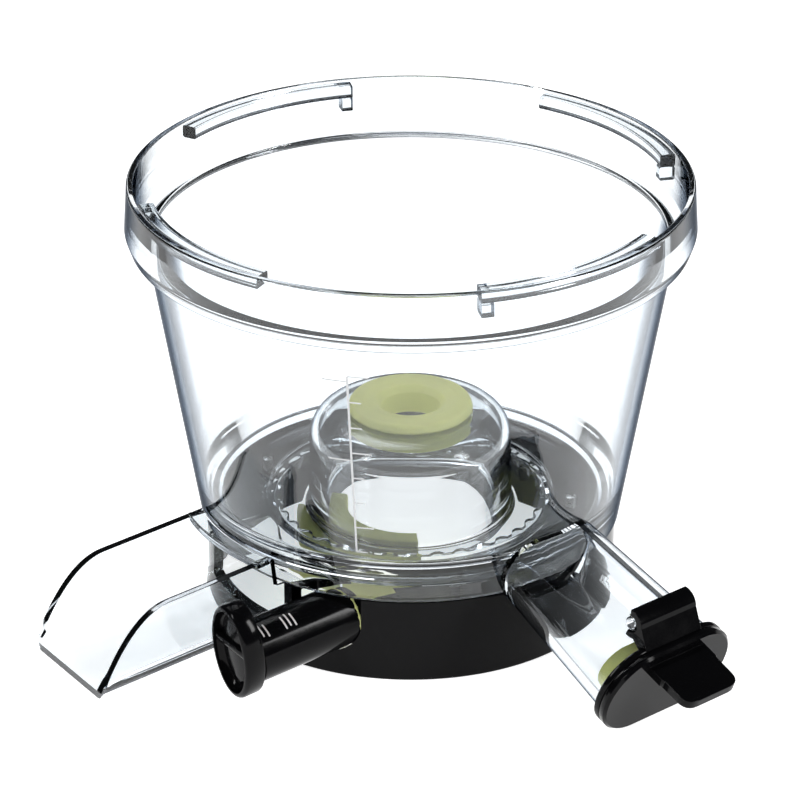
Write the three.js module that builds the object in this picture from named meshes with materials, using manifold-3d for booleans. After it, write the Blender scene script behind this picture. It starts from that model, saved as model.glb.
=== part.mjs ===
// Juicing bowl of an upright slow juicer: a clear tapered bowl with a bayonet collar, a drive hub,
// a pulp chute (-X), a juice spout with a press-on cap (-Y), a pulp pressure control and a black base.
// Millimetres, +Z up. Everything is laid out about the bowl's own axis and centred at the very end.
import * as THREE from 'three';
import { mergeVertices } from 'three/addons/utils/BufferGeometryUtils.js';
import Module from 'manifold-3d';

const wasm = await Module();
wasm.setup();

// ---------------------------------------------------------------- driving sizes
const RIM_RADIUS = 78;        // collar, outside, at the top edge
const BOWL_HEIGHT = 125;      // standing plane to the collar's top edge
const WALL = 2.5;             // wall of the clear mouldings
const GAP = 0.3;              // clearance between neighbouring pieces
const CHUTE_OVERHANG = 55;    // chute lip beyond the base
const SPOUT_OVERHANG = 43.5;  // spout mouth beyond the base
const CONTROL_OVERHANG = 21.7; // face of the pulled-out control beyond the base
const CONTROL_TRAVEL = 9;     // how far the control pushes in

// ---------------------------------------------------------------- sizes worked out from them
const BASE_HEIGHT = BOWL_HEIGHT / 5;
const BASE_RADIUS = 0.75 * RIM_RADIUS;
const BASE_WALL = 3;
const FLOOR_TOP = BASE_HEIGHT + 2 * WALL;
const PAN_TOP = FLOOR_TOP + 14;               // where the floor pan ends and the tapered wall begins
const LEDGE_HEIGHT = BOWL_HEIGHT - 15;        // ledge inside the collar that carries a lid
const LEDGE_RADIUS = RIM_RADIUS - 7;
const HUB_RADIUS = 0.365 * RIM_RADIUS;
const HUB_TOP = FLOOR_TOP + 26;
const HUB_BOTTOM = BASE_HEIGHT - 5;
const GROOVE_RADIUS = HUB_RADIUS + 10;        // outer edge of the running groove round the hub
const SEAT_RADIUS = HUB_RADIUS - 13;          // hole in the hub's top that the shaft seal snaps into
const BORE_RADIUS = 8.4;                      // drive shaft bore in the seal

// The chute and the control beside it are drawn level along -X, then sloped and turned together.
const CHUTE_HALF_WIDTH = 18.4;
const CHUTE_WALL = 2.2;
const CHUTE_FLOOR = BASE_HEIGHT - 15;
const CHUTE_TOP = FLOOR_TOP + 2.3;
const CHUTE_LENGTH = BASE_RADIUS + CHUTE_OVERHANG;
const CHUTE_SLOPE = 4.5;                      // degrees the chute falls towards its lip
const CHUTE_TURN = -5;                        // degrees the chute is turned from -X

const SPOUT_REACH = BASE_RADIUS + SPOUT_OVERHANG;
const SPOUT_MOUTH_HEIGHT = 15.7;
const SPOUT_ROOT = BASE_RADIUS + 2.5;
const SPOUT_SLOPE = Math.atan2(FLOOR_TOP - SPOUT_MOUTH_HEIGHT, SPOUT_REACH - SPOUT_ROOT);
const MOUTH_HALF_WIDTH = 20.2;
const MOUTH_HALF_HEIGHT = 11.4;

const BARREL_RADIUS = 8.6;
const BARREL_BORE = 6.3;
const ROD_RADIUS = 2.4;
const CONTROL_HEIGHT = BASE_HEIGHT - BARREL_RADIUS - 1.4;
const CONTROL_OFFSET = CHUTE_HALF_WIDTH + BARREL_RADIUS + 3;
const CONTROL_FACE = BASE_RADIUS + CONTROL_OVERHANG;
const CONTROL_CAP = { halfWidth: 9.2, halfHeight: 14.2, thick: 6, lift: 2.6 }; // upright oval pull

const SCREW_CIRCLE = BASE_RADIUS - 12.5;
const SCREW_ANGLES = [45, 115, -115, -45];
const SCREW_RADIUS = 1.5;
const DECK_THICKNESS = 2.5;
const DECK_TOP = BASE_HEIGHT - GAP;

const LUG_COUNT = 4;
const LUG_SWEEP = 45;                         // degrees each bayonet lug spans
const LUG_START = 150;                        // degrees, clockwise end of the first lug
const COLLAR_TURN = 3.75;                     // degrees the collar and its lugs are turned
const TOOTH_COUNT = 36;

const ROUND = 48;                             // facets round the large rings
const SMALL_ROUND = 20;                       // facets round knobs, screws and seals

const X = new THREE.Vector3(1, 0, 0);
const Y = new THREE.Vector3(0, 1, 0);
const Z = new THREE.Vector3(0, 0, 1);
const OUT_CHUTE = new THREE.Vector3(-1, 0, 0);

const COLOURS = {
  clear: { color: 0xe6edee, roughness: 0.08, metalness: 0 },
  black: { color: 0x101113, roughness: 0.2, metalness: 0 },
  silicone: { color: 0xc8d38c, roughness: 0.55, metalness: 0 },
  steel: { color: 0xb9bcc0, roughness: 0.3, metalness: 1 },
};

// ---------------------------------------------------------------- geometry helpers
const degrees = (value) => (value * Math.PI) / 180;

const polar = (radius, angle) => [radius * Math.cos(degrees(angle)), radius * Math.sin(degrees(angle))];

function toSolid(geometry) {
  const bare = geometry.clone();
  bare.deleteAttribute('normal');
  bare.deleteAttribute('uv');
  const welded = mergeVertices(bare, 1e-4);
  const corners = Array.from(welded.index.array);
  const kept = [];
  for (let i = 0; i < corners.length; i += 3) {
    const [a, b, c] = corners.slice(i, i + 3);
    if (a !== b && b !== c && c !== a) kept.push(a, b, c);
  }
  return new wasm.Manifold(new wasm.Mesh({
    numProp: 3,
    vertProperties: new Float32Array(welded.attributes.position.array),
    triVerts: new Uint32Array(kept),
  }));
}

function toGeometry(solid) {
  const mesh = solid.getMesh();
  const geometry = new THREE.BufferGeometry();
  geometry.setAttribute('position', new THREE.BufferAttribute(new Float32Array(mesh.vertProperties), 3));
  geometry.setIndex(new THREE.BufferAttribute(new Uint32Array(mesh.triVerts), 1));
  return geometry;
}

// A solid of revolution. The profile lists [radius, distance along the axis], anticlockwise.
function turned(profile, { axis = Z, origin = [0, 0, 0], facets = ROUND } = {}) {
  const touchesAxis = profile[0][0] === 0;
  const path = touchesAxis ? profile : [...profile, profile[0]];
  const geometry = new THREE.LatheGeometry(path.map(([r, h]) => new THREE.Vector2(r, h)), facets);
  geometry.applyQuaternion(new THREE.Quaternion().setFromUnitVectors(Y, axis));
  geometry.translate(...origin);
  return toSolid(geometry);
}

function rod(radius, from, to, options) {
  return turned([[0, from], [radius, from], [radius, to], [0, to]], options);
}

// A flat outline pushed out by `depth`, centred on `centre`; the outline's x and y run along
// the two directions given.
function prism(shape, depth, across, up, centre, curveSegments = 12) {
  const geometry = new THREE.ExtrudeGeometry(shape, { depth, bevelEnabled: false, curveSegments });
  geometry.translate(0, 0, -depth / 2);
  const normal = new THREE.Vector3().crossVectors(across, up);
  const frame = new THREE.Matrix4().makeBasis(across, up, normal).setPosition(...centre);
  geometry.applyMatrix4(frame);
  return toSolid(geometry);
}

function block(sizeX, sizeY, sizeZ, centre) {
  const geometry = new THREE.BoxGeometry(sizeX, sizeY, sizeZ);
  geometry.translate(...centre);
  return toSolid(geometry);
}

// Part of a flat ring between two angles, standing from `bottom` to `top`.
function ringSector(inner, outer, from, sweep, bottom, top) {
  const shape = new THREE.Shape();
  const start = degrees(from);
  const end = degrees(from + sweep);
  shape.absarc(0, 0, outer, start, end, false);
  shape.absarc(0, 0, inner, end, start, true);
  return prism(shape, top - bottom, X, Y, [0, 0, (top + bottom) / 2]);
}

// Closed skin through a list of equal-length rings of points.
function skin(rings) {
  const count = rings[0].length;
  const points = rings.flat();
  const triangles = [];
  for (let k = 0; k < rings.length - 1; k += 1) {
    const here = k * count;
    const next = here + count;
    for (let i = 0; i < count; i += 1) {
      const j = (i + 1) % count;
      triangles.push(here + i, here + j, next + j, here + i, next + j, next + i);
    }
  }
  const last = (rings.length - 1) * count;
  for (let i = 1; i < count - 1; i += 1) {
    triangles.push(0, i + 1, i, last, last + i, last + i + 1);
  }
  const geometry = new THREE.BufferGeometry();
  const flat = new Float32Array(points.flatMap((p) => [p.x, p.y, p.z]));
  geometry.setAttribute('position', new THREE.BufferAttribute(flat, 3));
  geometry.setIndex(triangles);
  return toSolid(geometry);
}

function unite(first, ...others) {
  return others.reduce((whole, next) => whole.add(next), first);
}

function cut(whole, ...cutters) {
  return cutters.reduce((rest, cutter) => rest.subtract(cutter), whole);
}

// Slopes and turns a solid drawn level along -X into the place of the chute and its control.
function inChutePlace(solid) {
  const pivot = new THREE.Vector3(-BASE_RADIUS, 0, CHUTE_FLOOR);
  const place = new THREE.Matrix4().makeRotationZ(degrees(CHUTE_TURN));
  place.multiply(new THREE.Matrix4().makeTranslation(pivot.x, pivot.y, pivot.z));
  place.multiply(new THREE.Matrix4().makeRotationY(-degrees(CHUTE_SLOPE)));
  place.multiply(new THREE.Matrix4().makeTranslation(-pivot.x, -pivot.y, -pivot.z));
  return solid.transform(place.elements);
}

// ---------------------------------------------------------------- the bowl
// Outside radius of the tapered wall at a height.
function wallOuter(height) {
  const bottom = BASE_RADIUS + 1;
  const top = RIM_RADIUS - 4.5;
  return bottom + ((top - bottom) * (height - BASE_HEIGHT)) / (LEDGE_HEIGHT - BASE_HEIGHT);
}

const wallInner = (height) => wallOuter(height) - WALL;

function bowlCollar() {
  const seat = LEDGE_HEIGHT - WALL;
  const outside = RIM_RADIUS + 1;
  const inside = RIM_RADIUS - 2;
  const band = turned([
    [wallInner(seat), seat],
    [wallOuter(seat), seat],
    [outside - 1.7, seat + 0.9],
    [outside - 0.4, seat + 2.6],
    [outside, seat + 5.5],
    [RIM_RADIUS, BOWL_HEIGHT - 0.8],
    [RIM_RADIUS - 0.5, BOWL_HEIGHT],
    [inside + 0.3, BOWL_HEIGHT],
    [inside, BOWL_HEIGHT - 0.5],
    [inside - 0.6, LEDGE_HEIGHT + 0.6],
    [inside - 1.2, LEDGE_HEIGHT],
    [LEDGE_RADIUS, LEDGE_HEIGHT],
  ]);
  const lugs = [];
  for (let k = 0; k < LUG_COUNT; k += 1) {
    const start = LUG_START + (360 / LUG_COUNT) * k;
    lugs.push(ringSector(LEDGE_RADIUS + 0.4, inside + 0.4, start, LUG_SWEEP, BOWL_HEIGHT - 4, BOWL_HEIGHT - 0.1));
    lugs.push(ringSector(LEDGE_RADIUS + 0.4, inside + 0.4, start, 2.5, BOWL_HEIGHT - 8, BOWL_HEIGHT - 3));
  }
  return unite(band, ...lugs).rotate([0, 0, COLLAR_TURN]);
}

function bowlWall() {
  const bottom = PAN_TOP + GAP;
  const top = LEDGE_HEIGHT - WALL - GAP;
  return turned([
    [wallInner(bottom), bottom],
    [wallOuter(bottom), bottom],
    [wallOuter(top), top],
    [wallInner(top), top],
  ]);
}

// Toothed ring that the strainer runs in.
function toothedRing() {
  const shape = new THREE.Shape();
  shape.absarc(0, 0, GROOVE_RADIUS + 2, 0, 2 * Math.PI, false);
  const hole = new THREE.Path();
  for (let k = 0; k < 2 * TOOTH_COUNT; k += 1) {
    const radius = GROOVE_RADIUS + (k % 2 === 0 ? -0.8 : 0.6);
    const [x, y] = polar(radius, (180 * k) / TOOTH_COUNT);
    if (k === 0) hole.moveTo(x, y);
    else hole.lineTo(x, y);
  }
  hole.closePath();
  shape.holes.push(hole);
  return prism(shape, WALL, X, Y, [0, 0, FLOOR_TOP - 2.4], ROUND / 4);
}

// Bowl floor with its running groove, the flared bottom of the wall and the skirt over the base.
function bowlFloor() {
  const under = FLOOR_TOP - WALL;
  const grooveTop = FLOOR_TOP - 3.5;
  const grooveUnder = grooveTop - WALL;
  const corner = FLOOR_TOP + 7.7;              // height where the floor's round corner meets the wall
  const skirtInner = wallInner(BASE_HEIGHT);
  const flat = BASE_RADIUS - 8.5;
  const pan = turned([
    [HUB_RADIUS + WALL, grooveUnder],
    [GROOVE_RADIUS + 1, grooveUnder],
    [GROOVE_RADIUS + 3.5, under],
    [flat + 1, under],
    [skirtInner - 1.5, under + 3],
    [skirtInner, under + 5.5],
    [skirtInner, BASE_HEIGHT],
    [wallOuter(BASE_HEIGHT), BASE_HEIGHT],
    [wallOuter(PAN_TOP), PAN_TOP],
    [wallInner(PAN_TOP), PAN_TOP],
    [wallInner(corner), corner],
    [wallInner(corner) - 1.7, FLOOR_TOP + 3.6],
    [flat + 4, FLOOR_TOP + 0.9],
    [flat, FLOOR_TOP],
    [GROOVE_RADIUS + 2.5, FLOOR_TOP],
    [GROOVE_RADIUS + 0.5, grooveTop],
    [HUB_RADIUS + WALL, grooveTop],
  ]);
  const bosses = SCREW_ANGLES.map((angle) => rod(3.4, BASE_HEIGHT, under + 0.4, {
    origin: [...polar(SCREW_CIRCLE, angle), 0],
    facets: SMALL_ROUND,
  }));
  const pilots = SCREW_ANGLES.map((angle) => rod(SCREW_RADIUS + GAP, BASE_HEIGHT - 1, under + 0.9, {
    origin: [...polar(SCREW_CIRCLE, angle), 0],
    facets: SMALL_ROUND,
  }));
  const pulpHole = inChutePlace(block(15, CHUTE_HALF_WIDTH, 14, [-(GROOVE_RADIUS + 1), 0, FLOOR_TOP - 6]));
  const juiceHole = spoutBore().subtract(block(200, 200, FLOOR_TOP, [0, -100, FLOOR_TOP / 2 + GAP]));
  return cut(unite(pan, toothedRing(), ...bosses), ...pilots, pulpHole, juiceHole);
}

function driveHub() {
  const inner = HUB_RADIUS - WALL;
  const footTop = FLOOR_TOP - 3.5;
  const footUnder = footTop - WALL;
  const shoulder = HUB_TOP - 9;
  const outerShoulder = [];
  const innerShoulder = [];
  for (let k = 0; k <= 4; k += 1) {
    const turn = degrees(22.5 * k);
    outerShoulder.push([HUB_RADIUS - 8 + 8 * Math.cos(turn), shoulder + 8 * Math.sin(turn)]);
    innerShoulder.push([inner - 6 + 6 * Math.sin(turn), shoulder + 6.5 * Math.cos(turn)]);
  }
  return turned([
    [inner - 1.3, HUB_BOTTOM],
    [HUB_RADIUS - 1.3, HUB_BOTTOM],
    [HUB_RADIUS - 0.4, footUnder],
    [HUB_RADIUS + WALL - GAP, footUnder],
    [HUB_RADIUS + WALL - GAP, footTop],
    [HUB_RADIUS, footTop],
    ...outerShoulder,
    [SEAT_RADIUS, HUB_TOP - 0.5],
    [SEAT_RADIUS, HUB_TOP - 2.5],
    ...innerShoulder,
    [inner, footTop],
  ], { facets: 40 });
}

function shaftSeal() {
  const neck = SEAT_RADIUS - GAP;
  const under = HUB_TOP - 2.5 - GAP;
  const over = HUB_TOP - 0.5 + GAP;
  return turned([
    [BORE_RADIUS, under - 3],
    [neck + 1.8, under - 3],
    [neck + 2.6, under - 2],
    [neck + 2.6, under],
    [neck, under],
    [neck, over],
    [neck + 2.4, over],
    [neck + 2.8, over + 1],
    [neck + 1.6, over + 2.2],
    [neck - 1, over + 2.6],
    [BORE_RADIUS + 1, over + 2.1],
    [BORE_RADIUS, over + 1],
  ], { facets: 32 });
}

// ---------------------------------------------------------------- pulp outlet and chute
// Side view of the chute: low inside the base, full height outside, swept down to the lip.
function chuteSide() {
  const shape = new THREE.Shape();
  const inside = HUB_RADIUS + 5.5;
  const sweep = 23;
  shape.moveTo(-inside, CHUTE_FLOOR);
  shape.lineTo(-inside, DECK_TOP - 1);
  shape.lineTo(-BASE_RADIUS, DECK_TOP - 1);
  shape.lineTo(-BASE_RADIUS, CHUTE_TOP);
  shape.lineTo(-(CHUTE_LENGTH - sweep), CHUTE_TOP);
  shape.quadraticCurveTo(-(CHUTE_LENGTH - 5), CHUTE_TOP - 2, -CHUTE_LENGTH, CHUTE_FLOOR + WALL);
  shape.lineTo(-(CHUTE_LENGTH - 1), CHUTE_FLOOR);
  return shape;
}

// Cross-section of the chute: a flat-bottomed trough with round bottom corners.
function troughShape(halfWidth, bottom, top, corner) {
  const shape = new THREE.Shape();
  shape.moveTo(-halfWidth, top);
  shape.lineTo(-halfWidth + 1, bottom + corner);
  shape.quadraticCurveTo(-halfWidth + 1.2, bottom, -halfWidth + 1 + corner, bottom);
  shape.lineTo(halfWidth - 1 - corner, bottom);
  shape.quadraticCurveTo(halfWidth - 1.2, bottom, halfWidth - 1, bottom + corner);
  shape.lineTo(halfWidth, top);
  return shape;
}

function pulpChute() {
  const middle = [-CHUTE_LENGTH / 2, 0, 0];
  const outer = prism(troughShape(CHUTE_HALF_WIDTH, CHUTE_FLOOR, CHUTE_TOP, 4), CHUTE_LENGTH + 2, Y, Z, middle, 4);
  const inner = prism(
    troughShape(CHUTE_HALF_WIDTH - CHUTE_WALL, CHUTE_FLOOR + WALL, CHUTE_TOP + 1, 3),
    CHUTE_LENGTH + 8, Y, Z, middle, 4,
  );
  const side = prism(chuteSide(), 3 * CHUTE_HALF_WIDTH, X, Z, [0, 0, 0], 8);
  const wallRoom = turned([
    [0, DECK_TOP - 1],
    [wallOuter(BASE_HEIGHT) + GAP, DECK_TOP - 1],
    [wallOuter(PAN_TOP) + GAP, PAN_TOP],
    [0, PAN_TOP],
  ]);
  const brow = SPOUT_ROOT + 5;                // roof over the outlet, rounded like the bowl
  const hood = rod(brow, CHUTE_TOP - 2, CHUTE_TOP).intersect(
    block(BASE_RADIUS, 2 * CHUTE_HALF_WIDTH - 1, 8, [-BASE_RADIUS, 0, CHUTE_TOP]),
  );
  const trough = cut(outer, inner).intersect(side);
  return cut(inChutePlace(unite(trough, hood)), wallRoom);
}

// Soft packing clipped round the hub's bottom edge; the control pushes on the flap at its end.
function outletPacking() {
  const from = 135;
  const sweep = 100;
  const flapSweep = 7;
  const hubInside = HUB_RADIUS - WALL - 1.3;
  const top = HUB_BOTTOM + 1.6;
  const bottom = HUB_BOTTOM - 7;
  const inside = ringSector(hubInside - 6, hubInside - GAP, from, sweep, bottom + 3, HUB_BOTTOM + 6);
  const bridge = ringSector(hubInside - 6, HUB_RADIUS + 4, from, sweep, bottom, HUB_BOTTOM - GAP);
  const outside = ringSector(HUB_RADIUS + GAP, HUB_RADIUS + 4, from, sweep, bottom, top);
  const flap = ringSector(HUB_RADIUS + 2, HUB_RADIUS + 9, from + sweep - flapSweep, flapSweep, bottom, top);
  return unite(inside, bridge, outside, flap);
}

// ---------------------------------------------------------------- juice spout and its cap
// Spout frame: w sideways (+X), n up and square to the tube, d outwards along the tube.
const SPOUT_W = X.clone();
const SPOUT_D = new THREE.Vector3(0, -Math.cos(SPOUT_SLOPE), -Math.sin(SPOUT_SLOPE));
const SPOUT_N = new THREE.Vector3().crossVectors(SPOUT_D, SPOUT_W);
const SPOUT_MOUTH = new THREE.Vector3(0, -SPOUT_REACH, SPOUT_MOUTH_HEIGHT);
const SPOUT_FRAME = new THREE.Matrix4().makeBasis(SPOUT_W, SPOUT_N, SPOUT_D).setPosition(SPOUT_MOUTH);

const spoutPoint = (w, n, d) => new THREE.Vector3(w, n, d).applyMatrix4(SPOUT_FRAME);

const HINGE = { n: 16.6, d: -5.4, radius: 2 }; // bar over the mouth that the cap hangs on

function ovalRing(halfWidth, halfHeight, along, perEnd = 12) {
  const points = [];
  for (const side of [1, -1]) {
    for (let k = 0; k <= perEnd; k += 1) {
      const turn = degrees(-90 + (180 * k) / perEnd);
      const w = side * (halfWidth - halfHeight + halfHeight * Math.cos(turn));
      points.push(spoutPoint(w, side * halfHeight * Math.sin(turn), along));
    }
  }
  return points;
}

function ovalSolid(sections) {
  return skin(sections.map(([w, n, d]) => ovalRing(w, n, d)));
}

// Inside of the tube, run on through the bowl wall.
function spoutBore() {
  const length = SPOUT_REACH - SPOUT_ROOT;
  const wall = 2.2;
  return ovalSolid([
    [13.6, 8, -(length + 13)],
    [MOUTH_HALF_WIDTH - wall - 0.3, MOUTH_HALF_HEIGHT - wall, 1],
  ]);
}

function juiceSpout() {
  const length = SPOUT_REACH - SPOUT_ROOT;
  const tubeOutside = ovalSolid([
    [16.6, 10.6, -(length + 7)],
    [MOUTH_HALF_WIDTH, MOUTH_HALF_HEIGHT, 0],
  ]);
  const wallRoom = turned([
    [0, -1],
    [wallOuter(BASE_HEIGHT) + GAP, -1],
    [wallOuter(BASE_HEIGHT) + GAP, BASE_HEIGHT],
    [wallOuter(PAN_TOP + 10) + GAP, PAN_TOP + 10],
    [0, PAN_TOP + 10],
  ]);
  const bar = rod(HINGE.radius, -10, 10, {
    axis: X,
    origin: spoutPoint(0, HINGE.n, HINGE.d).toArray(),
    facets: 20,
  });
  const web = new THREE.Shape();
  web.moveTo(HINGE.d - 1.1, HINGE.n - 0.6);
  web.lineTo(HINGE.d - 6.4, MOUTH_HALF_HEIGHT - 1.5);
  web.lineTo(HINGE.d - 2.9, MOUTH_HALF_HEIGHT - 1.5);
  web.lineTo(HINGE.d - 0.6, HINGE.n - 1.8);
  const webSolid = prism(web, 6, SPOUT_D, SPOUT_N, SPOUT_MOUTH.toArray());
  return unite(cut(tubeOutside, spoutBore(), wallRoom), bar, webSolid);
}

// Side view of the lever: hook round the hinge bar, slanted plate, thumb tab.
function leverSide() {
  const hook = 4.3;
  const grip = HINGE.radius + GAP;
  const tabTop = MOUTH_HALF_HEIGHT - 1.4;
  const tabEnd = 20.6;
  const shape = new THREE.Shape();
  shape.absarc(HINGE.d, HINGE.n, hook, degrees(112), degrees(20), true);
  shape.lineTo(5.4, tabTop);
  shape.lineTo(tabEnd, tabTop);
  shape.lineTo(tabEnd, tabTop - 2.6);
  shape.lineTo(3.2, tabTop - 2.6);
  shape.lineTo(3.2, tabTop);
  shape.lineTo(HINGE.d + 2.2, HINGE.n - hook + 0.6);
  shape.absarc(HINGE.d, HINGE.n, hook, degrees(-62), degrees(-98), true);
  shape.absarc(HINGE.d, HINGE.n, grip, degrees(-98), degrees(112), false);
  return shape;
}

function spoutCap() {
  const lid = ovalSolid([
    [MOUTH_HALF_WIDTH + 1.3, MOUTH_HALF_HEIGHT + 1.3, GAP],
    [MOUTH_HALF_WIDTH + 2.1, MOUTH_HALF_HEIGHT + 2.1, GAP + 0.8],
    [MOUTH_HALF_WIDTH + 2.1, MOUTH_HALF_HEIGHT + 2.1, 4.4],
    [MOUTH_HALF_WIDTH + 1.2, MOUTH_HALF_HEIGHT + 1.2, 5.3],
  ]);
  const lever = prism(leverSide(), 20, SPOUT_D, SPOUT_N, SPOUT_MOUTH.toArray(), 8);
  return unite(lid, lever);
}

function capPlug() {
  const halfWidth = MOUTH_HALF_WIDTH - 2.5 - GAP;
  const halfHeight = MOUTH_HALF_HEIGHT - 2.2 - GAP;
  return ovalSolid([
    [halfWidth - 2.4, halfHeight - 2.4, -5.6],
    [halfWidth - 1.8, halfHeight - 1.8, -5],
    [halfWidth - 1.1, halfHeight - 1.1, -2],
    [halfWidth - 0.3, halfHeight - 0.3, 0],
  ]);
}

// ---------------------------------------------------------------- black base
function baseRing() {
  const inside = BASE_RADIUS - BASE_WALL;
  const deckInner = GROOVE_RADIUS + 1.5;
  const ring = turned([
    [inside, 0],
    [BASE_RADIUS, 0],
    [BASE_RADIUS, DECK_TOP],
    [deckInner, DECK_TOP],
    [deckInner, DECK_TOP - DECK_THICKNESS],
    [inside, DECK_TOP - DECK_THICKNESS],
  ]);
  const underDeck = DECK_TOP - DECK_THICKNESS;
  const slideRoom = BARREL_RADIUS + GAP;
  const cradle = inChutePlace(rod(BARREL_RADIUS + 3, CRADLE_START, CRADLE_END, controlAxis())).intersect(
    rod(inside + 1, 0, underDeck + 1),
  );
  const roomStart = CRADLE_START - 10;
  const roomEnd = BASE_RADIUS + 5;
  const barrelNotch = inChutePlace(unite(
    rod(slideRoom, roomStart, roomEnd, controlAxis()),
    block(
      roomEnd - roomStart, 2 * slideRoom, BASE_HEIGHT,
      [-(roomStart + roomEnd) / 2, -CONTROL_OFFSET, CONTROL_HEIGHT + BASE_HEIGHT / 2],
    ),
  ));
  const window = inChutePlace(block(
    BASE_RADIUS, 2 * (CHUTE_HALF_WIDTH + GAP), BASE_HEIGHT,
    [-BASE_RADIUS, 0, CHUTE_FLOOR - GAP + BASE_HEIGHT / 2],
  ));
  const pinHole = inChutePlace(controlPost(PIN_RADIUS + 0.05, BARREL_RADIUS - 2, BARREL_RADIUS + 5));
  const screwHoles = SCREW_ANGLES.map((angle) => rod(SCREW_RADIUS + GAP, 0, BASE_HEIGHT, {
    origin: [...polar(SCREW_CIRCLE, angle), 0],
    facets: SMALL_ROUND,
  }));
  const notches = [-90, 0, 90].map((angle) => ringSector(
    deckInner - 1, deckInner + 3, angle - 9, 18, DECK_TOP - 5, DECK_TOP + 1,
  ));
  return cut(unite(ring, cradle), barrelNotch, window, pinHole, ...screwHoles, ...notches);
}

function baseScrew(angle) {
  const headTop = DECK_TOP - DECK_THICKNESS - GAP;
  const placed = { origin: [...polar(SCREW_CIRCLE, angle), 0], facets: SMALL_ROUND };
  const screw = turned([
    [0, headTop - 2.4],
    [2.4, headTop - 2.4],
    [3.1, headTop - 1.6],
    [3.1, headTop],
    [SCREW_RADIUS, headTop],
    [SCREW_RADIUS, FLOOR_TOP - WALL + 0.2],
    [0, FLOOR_TOP - WALL + 0.5],
  ], placed);
  const [x, y] = polar(SCREW_CIRCLE, angle);
  const slots = [0, 90].map((turn) => {
    const long = turn === 0;
    return block(long ? 3.6 : 0.9, long ? 0.9 : 3.6, 2.4, [x, y, headTop - 2.4]);
  });
  return cut(screw, ...slots);
}

// ---------------------------------------------------------------- pulp pressure control
// A push-pull control beside the chute. Its turned pieces share one axis, parallel to the chute;
// distances run outwards along it, for the pulled-out control.
function controlAxis() {
  return { axis: OUT_CHUTE, origin: [0, -CONTROL_OFFSET, CONTROL_HEIGHT], facets: SMALL_ROUND };
}

const WALL_PLACE = Math.sqrt(BASE_RADIUS ** 2 - CONTROL_OFFSET ** 2); // where the axis meets the base's wall
const PIN_PLACE = WALL_PLACE - 3.25;           // pin's distance along the control's axis
const BARREL_START = PIN_PLACE - 7;
const BARREL_END = CONTROL_FACE - CONTROL_CAP.thick - GAP;
const CRADLE_START = BARREL_START - CONTROL_TRAVEL + 2;
const CRADLE_END = BASE_RADIUS - 5;
const RING_PLACE = BARREL_START + 3;
const PIN_RADIUS = 1.2;

function controlTurned(profile) {
  return inChutePlace(turned(profile, controlAxis()));
}

// Upright post below the control's axis, between two distances from that axis.
function controlPost(radius, from, to) {
  return rod(radius, from, to, {
    axis: Z.clone().negate(),
    origin: [-PIN_PLACE, -CONTROL_OFFSET, CONTROL_HEIGHT],
    facets: 12,
  });
}

function controlPin() {
  return inChutePlace(controlPost(PIN_RADIUS, BARREL_RADIUS - 1.2, BARREL_RADIUS + 2.8));
}

function controlRingSeal() {
  const thick = 0.7;
  const profile = [];
  for (let k = 0; k < 8; k += 1) {
    const turn = degrees(45 * k);
    profile.push([BARREL_RADIUS - 0.5 + thick * Math.cos(turn), RING_PLACE + thick * Math.sin(turn)]);
  }
  return controlTurned(profile);
}

function controlBarrel() {
  const plug = BARREL_START + 3;
  const groove = RING_PLACE - 1;
  const grooveRadius = BARREL_RADIUS - 1.4;
  const shell = turned([
    [ROD_RADIUS + GAP, BARREL_START],
    [BARREL_RADIUS - 0.5, BARREL_START],
    [BARREL_RADIUS, BARREL_START + 0.5],
    [BARREL_RADIUS, groove],
    [grooveRadius, groove],
    [grooveRadius, groove + 2],
    [BARREL_RADIUS, groove + 2],
    [BARREL_RADIUS, BARREL_END],
    [BARREL_BORE, BARREL_END],
    [BARREL_BORE, plug],
    [ROD_RADIUS + GAP, plug],
  ], controlAxis());
  const room = PIN_RADIUS + 0.4;
  const keyway = block(
    CONTROL_TRAVEL + 2 * room, 2 * room, 3,
    [-(PIN_PLACE + CONTROL_TRAVEL / 2), -CONTROL_OFFSET, CONTROL_HEIGHT - BARREL_RADIUS],
  );
  return inChutePlace(cut(shell, keyway));
}

// Upright oval of the control's cap, `inset` inside its edge.
function capOval(inset, along) {
  const points = [];
  for (let k = 0; k < 2 * SMALL_ROUND; k += 1) {
    const turn = (Math.PI * k) / SMALL_ROUND;
    points.push(new THREE.Vector3(
      -along,
      -CONTROL_OFFSET + (CONTROL_CAP.halfWidth - inset) * Math.cos(turn),
      CONTROL_HEIGHT + CONTROL_CAP.lift - (CONTROL_CAP.halfHeight - inset) * Math.sin(turn),
    ));
  }
  return points;
}

function controlCap() {
  const face = CONTROL_FACE;
  const back = face - CONTROL_CAP.thick;
  const rim = 1.6;
  const recess = face - 2.4;
  const body = skin([capOval(0.5, back), capOval(0, back + 0.5), capOval(0, face - 0.8), capOval(0.8, face)]);
  const well = skin([capOval(rim + 0.6, recess), capOval(rim, face + 1)]);
  const grip = block(4, 3 * CONTROL_CAP.halfWidth, 2, [-(recess + 1), -CONTROL_OFFSET, CONTROL_HEIGHT + 4.2]);
  return inChutePlace(unite(cut(body, well), grip.intersect(body)));
}

function controlRod() {
  const from = TIP_END + 4.5 + GAP;
  return controlTurned([[0, from], [ROD_RADIUS, from], [ROD_RADIUS, BARREL_END], [0, BARREL_END]]);
}

// Soft tip; pushed right in, it meets the packing's flap.
const TIP_END = BARREL_START - 8.3;

function controlTip() {
  return controlTurned([
    [0, TIP_END],
    [ROD_RADIUS, TIP_END],
    [ROD_RADIUS + 1.1, TIP_END + 1.1],
    [ROD_RADIUS + 1.1, TIP_END + 4.5],
    [0, TIP_END + 4.5],
  ]);
}

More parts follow.
